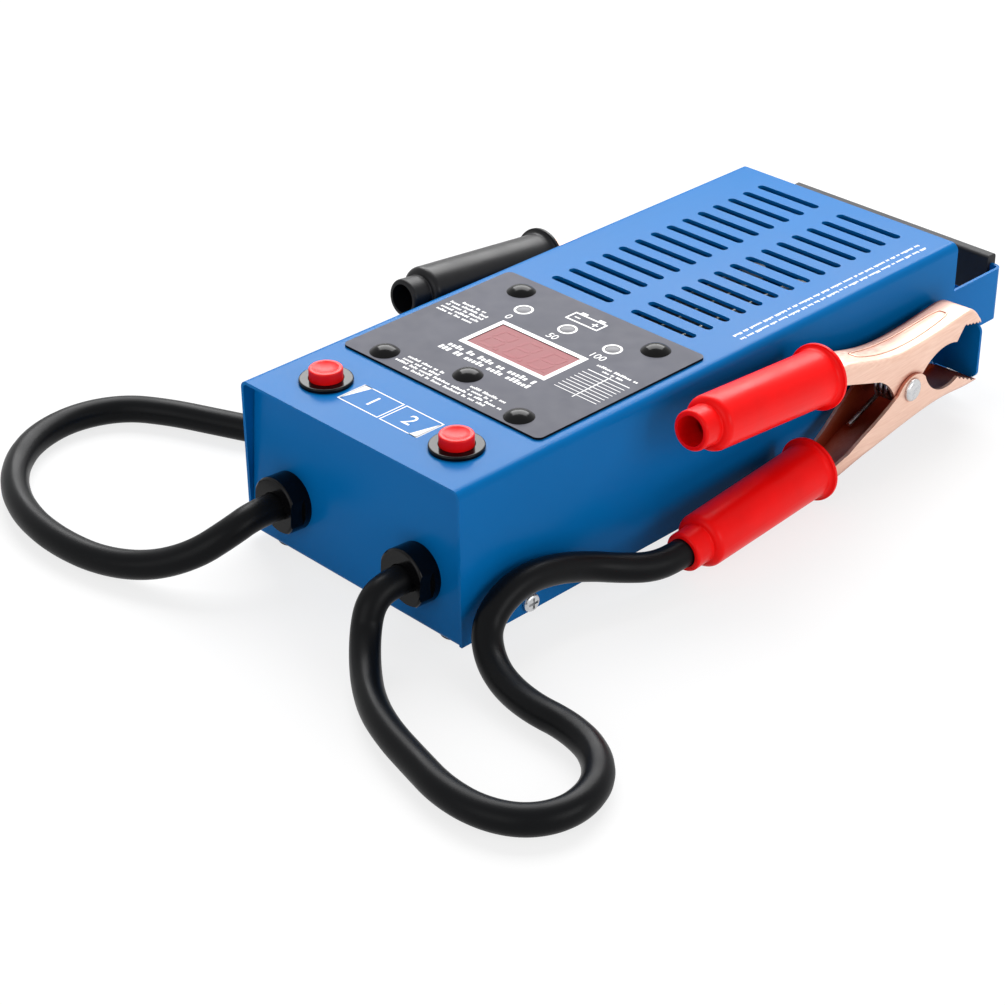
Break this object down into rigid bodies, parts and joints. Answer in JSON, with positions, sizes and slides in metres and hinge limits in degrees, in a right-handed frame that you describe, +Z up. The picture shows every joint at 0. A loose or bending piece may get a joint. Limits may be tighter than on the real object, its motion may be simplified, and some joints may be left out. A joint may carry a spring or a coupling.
{
  "type": "battery load tester",
  "caption": "Hand-held battery load tester: slotted sheet-steel case with display plate, push buttons, rear carrying strap and two leads with crocodile clamps parked on side ears.",
  "frame": {"origin": "on the resting plane under the feet, at the middle of the case with its rear strap, leads and clamps left out", "axes": "+Y from the front wall with the glands towards the rear strap, +Z up, +X to the right when seen from the front"},
  "size_m": [0.2981, 0.3418, 0.0651],
  "materials": {
    "blue_enamel": "gloss enamel on folded sheet steel",
    "grip_plastic": "dark grey moulded plastic",
    "label_grey": "printed grey plastic label plate",
    "black_plastic": "glossy black",
    "dark_plastic": "dark moulded plastic",
    "red_window": "tinted acrylic window",
    "lamp_lens": "cast lamp lens",
    "board_green": "solder-masked board",
    "red_plastic": "bright red plastic",
    "zinc_steel": "zinc plated",
    "spring_steel": "drawn spring wire",
    "brass": "plain brass",
    "rubber": "satin black rubber",
    "resistance_alloy": "rolled resistance ribbon",
    "ceramic": "unglazed ceramic",
    "copper_plate": "copper plated steel",
    "red_vinyl": "soft dipped vinyl",
    "black_vinyl": "soft dipped vinyl"
  },
  "bodies": {
    "case": {"cover": "blue_enamel", "base": "blue_enamel", "handle_grip": "grip_plastic", "label_plate": "label_grey", "plate_rivets": "black_plastic", "left_button_body": "black_plastic", "right_button_body": "black_plastic", "red_gland": "black_plastic", "black_gland": "black_plastic", "display_module": "dark_plastic", "board_chip": "dark_plastic", "board_capacitors": "dark_plastic", "relay": "dark_plastic", "terminal_block": "dark_plastic", "left_button_nut": "dark_plastic", "right_button_nut": "dark_plastic", "board_spacers": "dark_plastic", "display_window": "red_window", "left_lamp": "lamp_lens", "middle_lamp": "lamp_lens", "right_lamp": "lamp_lens", "circuit_board": "board_green", "cover_screws": "zinc_steel", "floor_screws": "zinc_steel", "terminal_studs": "zinc_steel", "terminal_nuts": "zinc_steel", "element_bolts": "zinc_steel", "red_pivot_rivet": "zinc_steel", "black_pivot_rivet": "zinc_steel", "left_button_spring": "spring_steel", "right_button_spring": "spring_steel", "red_clamp_spring": "spring_steel", "black_clamp_spring": "spring_steel", "button_tabs": "brass", "red_lug": "brass", "black_lug": "brass", "feed_bar": "brass", "return_bar": "brass", "red_ferrule": "brass", "black_ferrule": "brass", "feet": "rubber", "red_lead": "rubber", "black_lead": "rubber", "red_inner_lead": "rubber", "black_inner_lead": "rubber", "load_ribbon": "resistance_alloy", "element_bars": "ceramic", "red_lower_jaw": "copper_plate", "black_lower_jaw": "copper_plate", "red_lower_sleeve": "red_vinyl", "black_lower_sleeve": "black_vinyl"},
    "left_button": {"left_button_cap": "red_plastic"},
    "right_button": {"right_button_cap": "red_plastic"},
    "red_clamp_upper": {"red_upper_jaw": "copper_plate", "red_upper_sleeve": "red_vinyl"},
    "black_clamp_upper": {"black_upper_jaw": "copper_plate", "black_upper_sleeve": "black_vinyl"}
  },
  "joints": [
    {"name": "left_button_press", "type": "slide", "parent": "case", "child": "left_button", "axis": [0, 0, -1], "range_m": [0, 0.0025], "stiffness_N_per_m": 600, "springref_m": -0.001, "deforming": ["left_button_spring"]},
    {"name": "right_button_press", "type": "slide", "parent": "case", "child": "right_button", "axis": [0, 0, -1], "range_m": [0, 0.0025], "stiffness_N_per_m": 600, "springref_m": -0.001, "deforming": ["right_button_spring"]},
    {"name": "red_clamp_pivot", "type": "hinge", "parent": "case", "child": "red_clamp_upper", "pos_m": [0.06421, 0.05691, 0.028], "axis": [0.9986, 0.0523, 0], "range_deg": [0, 12], "stiffness_Nm_per_rad": 2, "springref_deg": -8.59, "deforming": ["red_clamp_spring"]},
    {"name": "black_clamp_pivot", "type": "hinge", "parent": "case", "child": "black_clamp_upper", "pos_m": [-0.0655, 0.05685, 0.028], "axis": [1, 0, 0], "range_deg": [0, 12], "stiffness_Nm_per_rad": 2, "springref_deg": -8.59, "deforming": ["black_clamp_spring"]}
  ]
}
